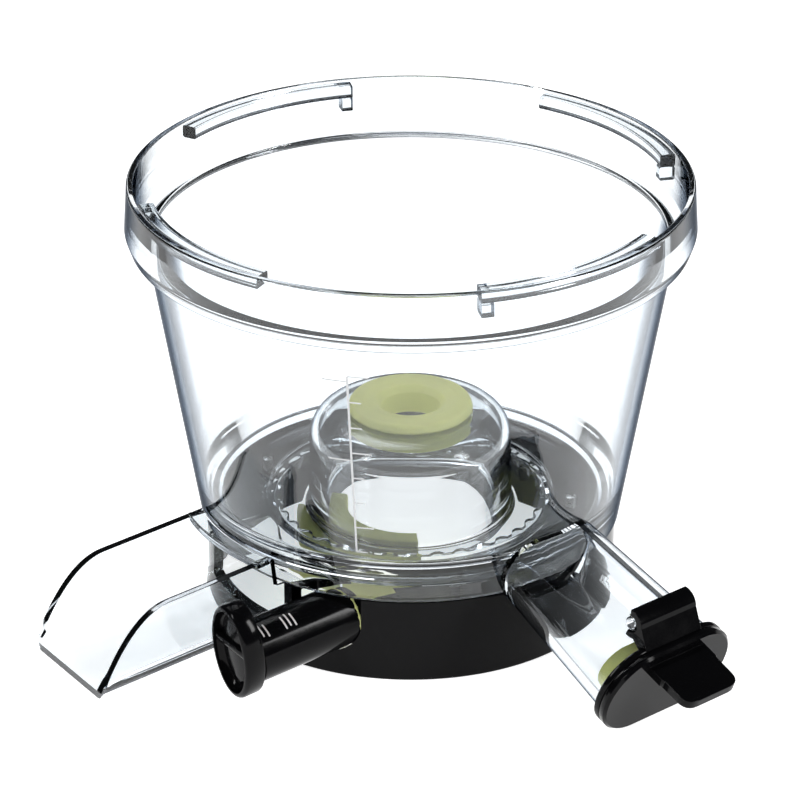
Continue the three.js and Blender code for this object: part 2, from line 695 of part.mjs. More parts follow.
// ---------------------------------------------------------------- assembly
function pieces() {
  const list = [
    ['bowl_collar', bowlCollar(), 'clear'],
    ['bowl_wall', bowlWall(), 'clear'],
    ['bowl_floor', bowlFloor(), 'clear'],
    ['drive_hub', driveHub(), 'clear'],
    ['shaft_seal', shaftSeal(), 'silicone'],
    ['pulp_chute', pulpChute(), 'clear'],
    ['outlet_packing', outletPacking(), 'silicone'],
    ['juice_spout', juiceSpout(), 'clear'],
    ['spout_cap', spoutCap(), 'black'],
    ['cap_plug', capPlug(), 'silicone'],
    ['base_ring', baseRing(), 'black'],
    ['control_pin', controlPin(), 'steel'],
    ['control_ring_seal', controlRingSeal(), 'silicone'],
    ['control_barrel', controlBarrel(), 'black'],
    ['control_cap', controlCap(), 'black'],
    ['control_rod', controlRod(), 'steel'],
    ['control_tip', controlTip(), 'silicone'],
  ];
  SCREW_ANGLES.forEach((angle, k) => list.push([`base_screw_${k + 1}`, baseScrew(angle), 'steel']));
  return list;
}

function assemble() {
  const group = new THREE.Group();
  group.name = 'juicing_bowl';
  for (const [name, solid, colour] of pieces()) {
    const mesh = new THREE.Mesh(toGeometry(solid), new THREE.MeshStandardMaterial(COLOURS[colour]));
    mesh.name = name;
    group.add(mesh);
  }
  return group;
}

// The origin is the middle of the footprint, on the standing plane.
function centred(group) {
  const box = new THREE.Box3().setFromObject(group);
  const middle = box.getCenter(new THREE.Vector3());
  for (const mesh of group.children) mesh.geometry.translate(-middle.x, -middle.y, -box.min.z);
  return group;
}

export default centred(assemble());
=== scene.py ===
"""Looks of the juicing bowl: clear mouldings, glossy black base, cap and control, soft green seals.

Sizes are millimetres about the bowl's own axis, read from the frame where it has them. Every piece is
built in its place, and only make_piece turns millimetres into the frame's metres.
"""
import math

import bpy
import bmesh
from mathutils import Matrix, Vector


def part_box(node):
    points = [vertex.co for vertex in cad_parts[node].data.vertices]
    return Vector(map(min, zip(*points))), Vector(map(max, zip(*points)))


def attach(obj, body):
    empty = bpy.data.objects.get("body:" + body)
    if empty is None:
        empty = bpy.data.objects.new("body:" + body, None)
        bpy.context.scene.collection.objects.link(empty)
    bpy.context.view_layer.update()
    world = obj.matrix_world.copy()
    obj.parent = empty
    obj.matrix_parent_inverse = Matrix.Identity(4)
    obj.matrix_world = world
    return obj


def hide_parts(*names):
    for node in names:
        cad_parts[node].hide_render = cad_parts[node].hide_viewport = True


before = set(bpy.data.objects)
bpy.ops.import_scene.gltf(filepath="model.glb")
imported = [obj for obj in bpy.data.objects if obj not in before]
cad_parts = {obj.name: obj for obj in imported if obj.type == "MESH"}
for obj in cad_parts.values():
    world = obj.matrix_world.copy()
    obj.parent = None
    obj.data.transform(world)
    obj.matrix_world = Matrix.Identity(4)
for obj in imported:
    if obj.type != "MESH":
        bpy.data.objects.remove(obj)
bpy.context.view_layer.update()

MM = 0.001


# ---------------------------------------------------------------- sizes read from the frame, in mm
def extent(node):
    """Low and high corner of a CAD node's box."""
    low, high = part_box(node)
    return Vector(low) / MM, Vector(high) / MM


def half_width(node):
    low, high = extent(node)
    return (high.x - low.x) / 2


COLLAR_LOW, COLLAR_HIGH = extent("bowl_collar")
AXIS = Vector(((COLLAR_LOW.x + COLLAR_HIGH.x) / 2, (COLLAR_LOW.y + COLLAR_HIGH.y) / 2, 0))
HEIGHT = COLLAR_HIGH.z
RIM = half_width("bowl_collar") - 0.85          # collar's outside at its top edge
WALL = 2.5
GAP = 0.3
LEDGE = COLLAR_LOW.z + WALL                     # top of the ledge that carries a lid
BASE_RADIUS = half_width("base_ring")
DECK_TOP = extent("base_ring")[1].z
SKIRT = DECK_TOP + GAP                          # lower edge of the clear skirt
FLOOR_TOP = SKIRT + 2 * WALL
HUB_RADIUS = half_width("drive_hub") - 2.2
HUB_TOP = extent("drive_hub")[1].z
HUB_BOTTOM = extent("drive_hub")[0].z
GROOVE = HUB_RADIUS + 10                        # outer edge of the running groove
GROOVE_DEPTH = 3.5
SHAFT_BORE = 8.4
SEAL_TOP = extent("shaft_seal")[1].z
SEAL_RADIUS = half_width("shaft_seal")

CHUTE_TURN = math.radians(-5)
CHUTE_SLOPE = math.radians(4.5)
CHUTE_HALF = 18.4
CHUTE_WALL = 2.2
CHUTE_FLOOR = SKIRT - 15
CHUTE_TOP = FLOOR_TOP + 2.3
CHUTE_LENGTH = BASE_RADIUS + 55
CHUTE_SWEEP = 23                                # stretch over which its sides fall to the lip

MOUTH_REACH = BASE_RADIUS + 43.5
MOUTH_HEIGHT = 15.7
SPOUT_ROOT = BASE_RADIUS + 2.5
SPOUT_SLOPE = math.atan2(FLOOR_TOP - MOUTH_HEIGHT, MOUTH_REACH - SPOUT_ROOT)
MOUTH_HALF_WIDTH = half_width("juice_spout")
MOUTH_HALF_HEIGHT = 11.4
BORE_HALF_WIDTH = MOUTH_HALF_WIDTH - 2.5        # of the mouth, inside
BORE_HALF_HEIGHT = MOUTH_HALF_HEIGHT - 2.2
HINGE_UP, HINGE_ALONG, HINGE_RADIUS = 16.6, -5.4, 2.0
HINGE_HALF_LENGTH = 10

BARREL_RADIUS = 8.6
CONTROL_OFFSET = CHUTE_HALF + BARREL_RADIUS + 3
CONTROL_HEIGHT = SKIRT - BARREL_RADIUS - 1.4
CONTROL_FACE = BASE_RADIUS + 21.7
CAP_HALF_WIDTH, CAP_HALF_HEIGHT, CAP_THICK, CAP_LIFT = 9.2, 14.2, 6.0, 2.6
BARREL_START = math.sqrt(BASE_RADIUS ** 2 - CONTROL_OFFSET ** 2) - 10.25
BARREL_END = CONTROL_FACE - CAP_THICK - GAP

LUG_COUNT, LUG_START, LUG_SWEEP = 4, 153.75, 45  # bayonet lugs, in degrees
TOOTH_COUNT = 36
PACKING_START, PACKING_SWEEP = 135, 100         # degrees round the hub

FINE = 192                                      # segments round the large turned pieces
MEDIUM = 64


def wall_outer(z):
    """Outside radius of the tapered wall at a height."""
    return BASE_RADIUS + 1 + (RIM - BASE_RADIUS - 5.5) * (z - SKIRT) / (LEDGE - SKIRT)


def wall_inner(z):
    return wall_outer(z) - WALL


# ---------------------------------------------------------------- placements, bowl axis at x = y = 0
UPRIGHT = Matrix.Identity(4)


def chute_place():
    pivot = Vector((-BASE_RADIUS, 0, CHUTE_FLOOR))
    turn = Matrix.Rotation(CHUTE_TURN, 4, "Z")
    slope = Matrix.Rotation(-CHUTE_SLOPE, 4, "Y")
    return turn @ Matrix.Translation(pivot) @ slope @ Matrix.Translation(-pivot)


def control_place():
    """Local z runs outwards along the control's axis and local x runs up."""
    axis_foot = Matrix.Translation((0, -CONTROL_OFFSET, CONTROL_HEIGHT))
    return chute_place() @ axis_foot @ Matrix.Rotation(math.radians(-90), 4, "Y")


def spout_place():
    """Local x runs sideways, y up and square to the tube, z outwards along the tube."""
    side = Vector((1, 0, 0))
    along = Vector((0, -math.cos(SPOUT_SLOPE), -math.sin(SPOUT_SLOPE)))
    up = along.cross(side)
    place = Matrix((side, up, along)).transposed().to_4x4()
    place.translation = (0, -MOUTH_REACH, MOUTH_HEIGHT)
    return place


CHUTE = chute_place()
CONTROL = control_place()
SPOUT = spout_place()


# ---------------------------------------------------------------- mesh helpers
def make_piece(name, points, faces, place=UPRIGHT, smooth=32):
    """A mesh object from points in mm in a local placement; its place is in its mesh."""
    data = bpy.data.meshes.new(name)
    data.from_pydata([(place @ Vector(p) + AXIS) * MM for p in points], [], faces)
    piece = bpy.data.objects.new(name, data)
    bpy.context.scene.collection.objects.link(piece)
    tidy_mesh(data, smooth)
    return piece


def tidy_mesh(data, smooth):
    """Welds a mesh, turns its faces outwards and smooths it up to an angle in degrees."""
    work = bmesh.new()
    work.from_mesh(data)
    bmesh.ops.remove_doubles(work, verts=work.verts, dist=1e-6)
    bmesh.ops.recalc_face_normals(work, faces=work.faces)
    work.to_mesh(data)
    work.free()
    for polygon in data.polygons:
        polygon.use_smooth = True
    data.set_sharp_from_angle(angle=math.radians(smooth))


def rounded(corners, steps=4):
    """Closed outline from (x, y) or (x, y, radius) corners; a radius rounds its corner with an arc."""
    outline = []
    count = len(corners)
    for k, corner in enumerate(corners):
        here = Vector(corner[:2])
        if len(corner) < 3:
            outline.append(here)
            continue
        before = Vector(corners[k - 1][:2]) - here
        after = Vector(corners[(k + 1) % count][:2]) - here
        angle = before.angle(after)
        cut = min(corner[2] / math.tan(angle / 2), 0.48 * before.length, 0.48 * after.length)
        start = here + before.normalized() * cut
        end = here + after.normalized() * cut
        for i in range(steps + 1):
            t = i / steps
            outline.append(start * (1 - t) ** 2 + here * 2 * t * (1 - t) + end * t ** 2)
    return hold_straights(outline)


def hold_straights(outline, reach=0.35):
    """Adds points close to both ends of each long straight, so that its shading stays straight."""
    held = []
    for k, here in enumerate(outline):
        there = outline[(k + 1) % len(outline)]
        held.append(here)
        run = there - here
        if run.length > 6 * reach:
            held.append(here + run.normalized() * reach)
            held.append(there - run.normalized() * reach)
    return held


def lathe(name, corners, place=UPRIGHT, segments=FINE, smooth=32, steps=4):
    """Turned solid from a closed (radius, distance along the axis) outline."""
    outline = rounded(corners, steps)
    points = []
    for k in range(segments):
        turn = 2 * math.pi * k / segments
        points += [(p.x * math.cos(turn), p.x * math.sin(turn), p.y) for p in outline]
    return make_piece(name, points, ring_faces(segments, len(outline), True), place, smooth)


def ring_faces(rings, count, closed):
    """Quads between rings of count points each; closed joins the last ring to the first."""
    faces = []
    for k in range(rings if closed else rings - 1):
        here = k * count
        there = ((k + 1) % rings) * count
        for i in range(count):
            j = (i + 1) % count
            faces.append((here + i, here + j, there + j, there + i))
    return faces


def skin(name, rings, place=UPRIGHT, smooth=32):
    """Solid through a list of closed rings of points, capped at both ends."""
    count = len(rings[0])
    faces = ring_faces(len(rings), count, False)
    faces.append(tuple(range(count)))
    faces.append(tuple((len(rings) - 1) * count + i for i in range(count)))
    return make_piece(name, [p for ring in rings for p in ring], faces, place, smooth)


def prism(name, outline, low, high, place=UPRIGHT, smooth=32):
    """Flat outline in the local x-y plane pushed from low to high along local z."""
    return skin(name, [[(p[0], p[1], z) for p in outline] for z in (low, high)], place, smooth)


def sector(name, inner, outer, start, sweep, low, high, ease=0.5):
    """Part of a flat ring, with eased long edges."""
    count = max(4, round(abs(sweep) * FINE / 360))
    section = rounded([(inner, low, ease), (outer, low, ease), (outer, high, ease), (inner, high, ease)])
    rings = []
    for k in range(count + 1):
        turn = math.radians(start + sweep * k / count)
        rings.append([(p.x * math.cos(turn), p.x * math.sin(turn), p.y) for p in section])
    return skin(name, rings)


def box_piece(name, size, centre, place=UPRIGHT):
    """Box that only serves to cut or to be eased with a bevel."""
    half = [s / 2 for s in size]
    ring = [(-1, -1), (1, -1), (1, 1), (-1, 1)]
    rings = [[(centre[0] + half[0] * x, centre[1] + half[1] * y, centre[2] + half[2] * z) for x, y in ring]
             for z in (-1, 1)]
    return skin(name, rings, place)


def bevel(piece, width, segments=3, angle=30):
    """Rounds the sharp edges of a piece, in mm."""
    modifier = piece.modifiers.new("ease", "BEVEL")
    modifier.width = width * MM
    modifier.segments = segments
    modifier.limit_method = "ANGLE"
    modifier.angle_limit = math.radians(angle)
    modifier.harden_normals = True
    return bake(piece, keep_normals=True)


def even_shading(piece):
    """Lets the large faces set the shading, so that small rounded edges don't bend it."""
    modifier = piece.modifiers.new("even", "WEIGHTED_NORMAL")
    modifier.mode = "FACE_AREA"
    modifier.weight = 100
    modifier.keep_sharp = True
    return bake(piece, keep_normals=True)


def bake(piece, keep_normals=False):
    """Puts a piece's modifiers into its mesh."""
    graph = bpy.context.evaluated_depsgraph_get()
    graph.update()
    data = bpy.data.meshes.new_from_object(piece.evaluated_get(graph))
    piece.modifiers.clear()
    piece.data = data
    if not keep_normals:
        for polygon in data.polygons:
            polygon.use_smooth = True
        data.set_sharp_from_angle(angle=math.radians(32))
    return piece


def carve(piece, *tools, how="DIFFERENCE"):
    """Cuts a piece with tools, which are used up."""
    for tool in tools:
        modifier = piece.modifiers.new("carve", "BOOLEAN")
        modifier.operation = how
        modifier.solver = "EXACT"
        modifier.object = tool
    bake(piece)
    for tool in tools:
        bpy.data.objects.remove(tool, do_unlink=True)
    return piece


def join(name, *pieces):
    """One object from several, kept as separate islands."""
    work = bmesh.new()
    for piece in pieces:
        work.from_mesh(piece.data)
    data = bpy.data.meshes.new(name)
    work.to_mesh(data)
    work.free()
    for piece in pieces:
        bpy.data.objects.remove(piece, do_unlink=True)
    whole = bpy.data.objects.new(name, data)
    bpy.context.scene.collection.objects.link(whole)
    for polygon in data.polygons:
        polygon.use_smooth = True
    data.set_sharp_from_angle(angle=math.radians(32))
    return whole


# ---------------------------------------------------------------- materials
def new_material(name):
    material = bpy.data.materials.new(name)
    material.use_nodes = True
    nodes = material.node_tree.nodes
    return material, nodes, material.node_tree.links, nodes["Principled BSDF"]


def add_noise(nodes, links, scale, detail=3.0, roughness=0.5):
    """Noise in the object's own coordinates, so that it stays with a moving piece."""
    place = nodes.new("ShaderNodeTexCoord")
    noise = nodes.new("ShaderNodeTexNoise")
    noise.inputs["Scale"].default_value = scale
    noise.inputs["Detail"].default_value = detail
    noise.inputs["Roughness"].default_value = roughness
    links.new(place.outputs["Object"], noise.inputs["Vector"])
    return noise


def ramp(nodes, links, source, low, high):
    """Maps a noise's middle range onto low to high."""
    remap = nodes.new("ShaderNodeMapRange")
    remap.inputs["From Min"].default_value = 0.35
    remap.inputs["From Max"].default_value = 0.65
    remap.inputs["To Min"].default_value = low
    remap.inputs["To Max"].default_value = high
    links.new(source, remap.inputs["Value"])
    return remap.outputs["Result"]


def add_bump(nodes, links, source, shader, distance, strength=0.3):
    """Raises the surface by a noise, up to a distance in mm."""
    bump = nodes.new("ShaderNodeBump")
    bump.inputs["Strength"].default_value = strength
    bump.inputs["Distance"].default_value = distance * MM
    links.new(source, bump.inputs["Height"])
    links.new(bump.outputs["Normal"], shader.inputs["Normal"])


def tint(nodes, links, source, first, second):
    """Colour between two colours, mixed by a noise."""
    mix = nodes.new("ShaderNodeMix")
    mix.data_type = "RGBA"
    mix.inputs["A"].default_value = (*first, 1)
    mix.inputs["B"].default_value = (*second, 1)
    links.new(source, mix.inputs["Factor"])
    return mix.outputs["Result"]


def clear_plastic(name, low, high):
    """Polished clear moulding; low and high are the limits of its roughness."""
    material, nodes, links, shader = new_material(name)
    shader.inputs["Transmission Weight"].default_value = 1.0
    shader.inputs["IOR"].default_value = 1.49
    noise = add_noise(nodes, links, 60, 4)
    links.new(ramp(nodes, links, noise.outputs["Fac"], low, high), shader.inputs["Roughness"])
    shade = tint(nodes, links, noise.outputs["Fac"], (0.93, 0.95, 0.96), (0.97, 0.98, 0.98))
    links.new(shade, shader.inputs["Base Color"])
    # The coat's tint greys the outline edge-on: painted shade, both in reflection and seen through the
    # moulding.
    shader.inputs["Coat Weight"].default_value = 1.0
    shader.inputs["Coat IOR"].default_value = 1.01
    links.new(painted_edge_shade(nodes, links), shader.inputs["Coat Tint"])
    ripple = add_noise(nodes, links, 25, 2)
    add_bump(nodes, links, ripple.outputs["Fac"], shader, 0.1, 0.05)
    return material


def painted_edge_shade(nodes, links):
    """Painted shade: white from the front and grey edge-on, a dark outline painted into the coat's tint
    where the edges would show dark surroundings.
    """
    weight = nodes.new("ShaderNodeLayerWeight")
    weight.inputs["Blend"].default_value = 0.5
    remap = nodes.new("ShaderNodeMapRange")
    remap.interpolation_type = "SMOOTHSTEP"
    remap.inputs["From Min"].default_value = 0.66
    remap.inputs["From Max"].default_value = 0.88
    links.new(weight.outputs["Facing"], remap.inputs["Value"])
    mix = nodes.new("ShaderNodeMix")
    mix.data_type = "RGBA"
    links.new(remap.outputs["Result"], mix.inputs["Factor"])
    mix.inputs["A"].default_value = (0.985, 0.99, 0.995, 1)
    # Grey of the painted shade on the outline.
    mix.inputs["B"].default_value = (0.57, 0.60, 0.64, 1)
    return mix.outputs["Result"]


def black_plastic():
    """Injection-moulded glossy black with faint flow marks and handling smears."""
    material, nodes, links, shader = new_material("gloss_black")
    smears = add_noise(nodes, links, 90, 5, 0.6)
    links.new(ramp(nodes, links, smears.outputs["Fac"], 0.07, 0.16), shader.inputs["Roughness"])
    shade = tint(nodes, links, smears.outputs["Fac"], (0.0015, 0.0015, 0.0018), (0.003, 0.003, 0.0035))
    links.new(shade, shader.inputs["Base Color"])
    shader.inputs["Specular IOR Level"].default_value = 0.1
    grain = add_noise(nodes, links, 900, 2)
    add_bump(nodes, links, grain.outputs["Fac"], shader, 0.05, 0.08)
    return material


def silicone():
    """Soft pale green silicone with a dusty, slightly mottled skin."""
    material, nodes, links, shader = new_material("green_silicone")
    mottle = add_noise(nodes, links, 140, 4)
    shade = tint(nodes, links, mottle.outputs["Fac"], (0.76, 0.79, 0.27), (0.84, 0.86, 0.34))
    links.new(shade, shader.inputs["Base Color"])
    links.new(ramp(nodes, links, mottle.outputs["Fac"], 0.42, 0.58), shader.inputs["Roughness"])
    shader.inputs["Subsurface Weight"].default_value = 0.25
    shader.inputs["Subsurface Radius"].default_value = (0.004, 0.004, 0.002)
    shader.inputs["Subsurface Scale"].default_value = 0.5
    grain = add_noise(nodes, links, 1500, 2)
    add_bump(nodes, links, grain.outputs["Fac"], shader, 0.08, 0.25)
    return material


def steel():
    """Bright turned steel with fine brushing."""
    material, nodes, links, shader = new_material("bright_steel")
    shader.inputs["Metallic"].default_value = 1.0
    brushing = add_noise(nodes, links, 700, 3)
    shade = tint(nodes, links, brushing.outputs["Fac"], (0.55, 0.56, 0.57), (0.68, 0.69, 0.70))
    links.new(shade, shader.inputs["Base Color"])
    links.new(ramp(nodes, links, brushing.outputs["Fac"], 0.22, 0.38), shader.inputs["Roughness"])
    add_bump(nodes, links, brushing.outputs["Fac"], shader, 0.05, 0.15)
    return material


def printed(name, first, second):
    """Screen-printed ink, slightly uneven."""
    material, nodes, links, shader = new_material(name)
    ink = add_noise(nodes, links, 1200, 2)
    links.new(tint(nodes, links, ink.outputs["Fac"], first, second), shader.inputs["Base Color"])
    links.new(ramp(nodes, links, ink.outputs["Fac"], 0.4, 0.55), shader.inputs["Roughness"])
    return material


CLEAR = clear_plastic("clear_moulding", 0.0, 0.02)
BLACK = black_plastic()
GREEN = silicone()
STEEL = steel()
WALL_INK = printed("grey_ink", (0.55, 0.56, 0.57), (0.7, 0.71, 0.72))
MARK_INK = printed("white_ink", (0.5, 0.5, 0.5), (0.8, 0.8, 0.8))


def finish_piece(piece, material, body, nodes=()):
    """Gives a piece its material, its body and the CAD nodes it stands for."""
    piece.data.materials.clear()
    piece.data.materials.append(material)
    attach(piece, body)
    if nodes:
        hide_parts(*nodes)
    return piece


# ---------------------------------------------------------------- the clear bowl
def hub_shoulder(radius, shoulder, drop, steps=8):
    """Quarter arc over the hub's shoulder, from the side to the top."""
    return [(radius - drop + drop * math.cos(math.pi / 2 * k / steps),
             shoulder + drop * math.sin(math.pi / 2 * k / steps)) for k in range(steps + 1)]


def bowl_outline():
    """Half section of the clear bowl: outside, collar, floor, hub and under side."""
    seat = LEDGE - WALL
    groove_top = FLOOR_TOP - GROOVE_DEPTH
    groove_under = groove_top - WALL
    under = FLOOR_TOP - WALL
    skirt_inner = wall_inner(SKIRT)
    corner = FLOOR_TOP + 7.7
    outer_shoulder = hub_shoulder(HUB_RADIUS, HUB_TOP - 8, 8)
    inner_shoulder = hub_shoulder(HUB_RADIUS - WALL, HUB_TOP - 8.5, 6)
    outside = [
        (skirt_inner, SKIRT, 0.4),
        (wall_outer(SKIRT), SKIRT, 0.8),
        (wall_outer(seat), seat, 1.0),
        (RIM - 0.4, seat + 1.0, 1.6),
        (RIM + 0.9, seat + 5.0, 2.0),
        (RIM, HEIGHT, 0.7),
        (RIM - 1.9, HEIGHT, 0.4),
        (RIM - 2.4, LEDGE + 0.3, 0.8),
        (RIM - 7, LEDGE, 0.6),
        (wall_inner(seat), seat, 1.2),
    ]
    floor = [
        (wall_inner(corner + 3), corner + 3),
        (wall_inner(corner), corner, 3.0),
        (BASE_RADIUS - 6, FLOOR_TOP, 5.0),
        (GROOVE + 2.5, FLOOR_TOP, 1.2),
        (GROOVE + 0.4, groove_top, 1.2),
        (HUB_RADIUS + 0.6, groove_top, 1.6),
    ]
    seat_radius = 15.5
    hub = [
        *outer_shoulder,
        (seat_radius, HUB_TOP, 0.2),
        (seat_radius, HUB_TOP - 2, 0.2),
        *reversed(inner_shoulder),
    ]
    underside = [
        (HUB_RADIUS - WALL - 1.2, HUB_BOTTOM, 0.5),
        (HUB_RADIUS - 1.2, HUB_BOTTOM, 0.5),
        (HUB_RADIUS, groove_under, 1.0),
        (GROOVE + 1, groove_under, 1.0),
        (GROOVE + 3.5, under, 1.0),
        (BASE_RADIUS - 7.5, under, 1.5),
        (skirt_inner, under + 5.5, 3.0),
    ]
    return [*outside, *floor, *hub, *underside]


def clear_bowl():
    """Wall, collar, floor and hub in one moulding."""
    bowl = lathe("clear_bowl", bowl_outline(), steps=5)
    nodes = ("bowl_wall", "bowl_floor", "drive_hub", "bowl_collar")
    return finish_piece(bowl, CLEAR, "bowl", nodes)


def collar_lugs():
    """Four bayonet lugs under the collar's edge, each with a stop at its clockwise end."""
    lugs = []
    inner = RIM - 6.6
    for k in range(LUG_COUNT):
        start = LUG_START + 360 / LUG_COUNT * k
        lugs.append(sector(f"lug_{k}", inner, RIM - 2.15, start, LUG_SWEEP, HEIGHT - 4, HEIGHT - 0.3, 0.7))
        lugs.append(sector(f"stop_{k}", inner, RIM - 2.2, start, 2.5, HEIGHT - 8, HEIGHT - 4.1, 0.5))
    return finish_piece(join("collar_lugs", *lugs), CLEAR, "bowl", ())


def toothed_ring():
    """Ring of teeth round the running groove."""
    low, high = FLOOR_TOP - 3.3, FLOOR_TOP - 1.1
    points = []
    count = 4 * TOOTH_COUNT
    for k in range(count):
        turn = 2 * math.pi * k / count
        inner = GROOVE + (-1.6 if k % 4 in (0, 1) else -0.3)
        outer = GROOVE + 0.35
        for radius, z in ((inner, low), (outer, low), (outer + 0.9, high), (inner, high)):
            points.append((radius * math.cos(turn), radius * math.sin(turn), z))
    ring = make_piece("toothed_ring", points, ring_faces(count, 4, True))
    return finish_piece(ring, CLEAR, "bowl", ())


# ---------------------------------------------------------------- pulp chute
def chute_height(along):
    """Height of the chute's side walls: level, then swept down to the lip."""
    start_of_sweep = CHUTE_LENGTH - CHUTE_SWEEP
    if along <= start_of_sweep:
        return CHUTE_TOP
    share = (along - start_of_sweep) / CHUTE_SWEEP
    start, bend, end = CHUTE_TOP, CHUTE_TOP - 0.5, CHUTE_FLOOR + 2.2
    return start * (1 - share) ** 2 + bend * 2 * share * (1 - share) + end * share ** 2


def trough(half, bottom, top, corner, steps=5):
    """Half of a trough's section from its top edge down to its middle."""
    foot = half - 1
    points = [(half, top), (foot + 0.1, min(top, bottom + corner))]
    for k in range(1, steps + 1):
        turn = math.pi / 2 * k / steps
        points.append((foot - corner + corner * math.cos(turn), bottom + corner * (1 - math.sin(turn))))
    return points


def chute_ring(along):
    """Whole section of the chute at a distance from the bowl's axis."""
    top = chute_height(along)
    floor = CHUTE_FLOOR + 2.4
    outer = trough(CHUTE_HALF, CHUTE_FLOOR, top, min(4, top - CHUTE_FLOOR))
    inner = trough(CHUTE_HALF - CHUTE_WALL, floor, max(top, floor + 0.1), min(3, max(0.1, top - floor)))
    right = [(-along, y, z) for y, z in outer]
    left = [(-along, -y, z) for y, z in reversed(outer)]
    back_left = [(-along, -y, z) for y, z in inner]
    back_right = [(-along, y, z) for y, z in reversed(inner)]
    return right + left + back_left + back_right


def pulp_chute():
    """Open chute from the outlet inside the base to the lip, cut clear of the bowl's wall."""
    start = HUB_RADIUS + 5.5
    bend = CHUTE_LENGTH - CHUTE_SWEEP
    straight = [start + (bend - start) * k / 12 for k in range(12)]
    swept = [bend + CHUTE_SWEEP * k / 20 for k in range(21)]
    chute = skin("pulp_chute_clear", [chute_ring(along) for along in straight + swept], CHUTE)
    room = lathe("wall_room", [
        (0.01, DECK_TOP - 1), (wall_outer(SKIRT) + GAP, DECK_TOP - 1),
        (wall_outer(60) + GAP, 60), (0.01, 60),
    ])
    carve(chute, room)
    even_shading(bevel(chute, 0.5, 3, 40))
    return finish_piece(chute, CLEAR, "bowl", ("pulp_chute",))


def chute_hood():
    """Roof over the pulp outlet, curved like the bowl."""
    inner, outer = wall_outer(CHUTE_TOP) + 0.4, SPOUT_ROOT + 5
    sweep = 31
    start = 180 + math.degrees(CHUTE_TURN) - sweep / 2
    hood = sector("chute_hood", inner, outer, start, sweep, CHUTE_TOP - 1.6, CHUTE_TOP + 0.4)
    return finish_piece(hood, CLEAR, "bowl", ())


# ---------------------------------------------------------------- juice spout and cap
def oval(half_width_mm, half_height_mm, along, per_end=24):
    """Flat-sided oval across the spout."""
    points = []
    for side in (1, -1):
        for k in range(per_end + 1):
            turn = math.radians(-90 + 180 * k / per_end)
            across = side * (half_width_mm - half_height_mm + half_height_mm * math.cos(turn))
            points.append((across, side * half_height_mm * math.sin(turn), along))
    return points


def oval_skin(name, sections):
    return skin(name, [oval(*section) for section in sections], SPOUT)


def juice_spout():
    """Widening oval tube, and the bar on a post over its mouth."""
    length = MOUTH_REACH - SPOUT_ROOT
    tube = oval_skin("juice_spout_clear", [
        (16.6, 10.6, -(length + 7)),
        (MOUTH_HALF_WIDTH, MOUTH_HALF_HEIGHT, 0),
    ])
    bore = oval_skin("bore", [
        (13.6, 8, -(length + 13)),
        (BORE_HALF_WIDTH, BORE_HALF_HEIGHT, 1),
    ])
    room = lathe("wall_room", [
        (0.01, -1), (wall_outer(SKIRT) + GAP, -1), (wall_outer(SKIRT) + GAP, SKIRT),
        (wall_outer(60) + GAP, 60), (0.01, 60),
    ])
    carve(tube, bore, room)
    bevel(tube, 0.5, 3, 40)
    across = SPOUT @ Matrix.Translation((0, HINGE_UP, HINGE_ALONG)) @ Matrix.Rotation(math.pi / 2, 4, "Y")
    bar = lathe("bar", [
        (0.01, -HINGE_HALF_LENGTH),
        (HINGE_RADIUS, -HINGE_HALF_LENGTH, 0.5),
        (HINGE_RADIUS, HINGE_HALF_LENGTH, 0.5),
        (0.01, HINGE_HALF_LENGTH),
    ], across, MEDIUM)
    web = [(HINGE_ALONG - 1.1, HINGE_UP - 0.6), (HINGE_ALONG - 6.4, MOUTH_HALF_HEIGHT - 0.4),
           (HINGE_ALONG - 2.9, MOUTH_HALF_HEIGHT - 0.4), (HINGE_ALONG - 0.6, HINGE_UP - 1.8)]
    post = prism("post", web, -3, 3, SPOUT @ side_view())
    spout = even_shading(join("juice_spout_clear", tube, bar, post))
    return finish_piece(spout, CLEAR, "bowl", ("juice_spout",))


def side_view():
    """Local x runs along the spout, y up, z sideways."""
    return Matrix(((0, 0, -1, 0), (0, 1, 0, 0), (1, 0, 0, 0), (0, 0, 0, 1)))


def arc(centre, radius, start, end, steps):
    """Points on an arc between two angles in degrees."""
    return [(centre[0] + radius * math.cos(math.radians(start + (end - start) * k / steps)),
             centre[1] + radius * math.sin(math.radians(start + (end - start) * k / steps)))
            for k in range(steps + 1)]


TAB_END = 20.6                                  # thumb tab's reach past the mouth


def lever_outline():
    """Side view of the lever: a hook round the bar, and the thumb tab."""
    hinge = (HINGE_ALONG, HINGE_UP)
    hook = 4.3
    grip = HINGE_RADIUS + GAP
    tab_top = MOUTH_HALF_HEIGHT - 1.4
    tab_under = tab_top - 2.6
    outline = arc(hinge, hook, 112, 20, 10)
    outline += [(5.4, tab_top), (TAB_END, tab_top), (TAB_END, tab_under), (3.2, tab_under), (3.2, tab_top)]
    outline += [(HINGE_ALONG + 2.2, HINGE_UP - hook + 0.6)]
    outline += arc(hinge, hook, -62, -98, 4)
    outline += arc(hinge, grip, -98, 112, 16)
    return outline


def top_view():
    """Local x runs along the spout, y sideways, z up."""
    return Matrix(((0, 1, 0, 0), (0, 0, 1, 0), (1, 0, 0, 0), (0, 0, 0, 1)))


def rounded_tab():
    """Plan of the lever: straight at the hook, rounded at the two corners of its tab."""
    near_side = [(-14, -11), (9, -11), (10.5, -9.6, 1.5), (TAB_END, -9.6, 4)]
    far_side = [(along, -across, *ease) for along, across, *ease in reversed(near_side)]
    return rounded(near_side + far_side, 6)


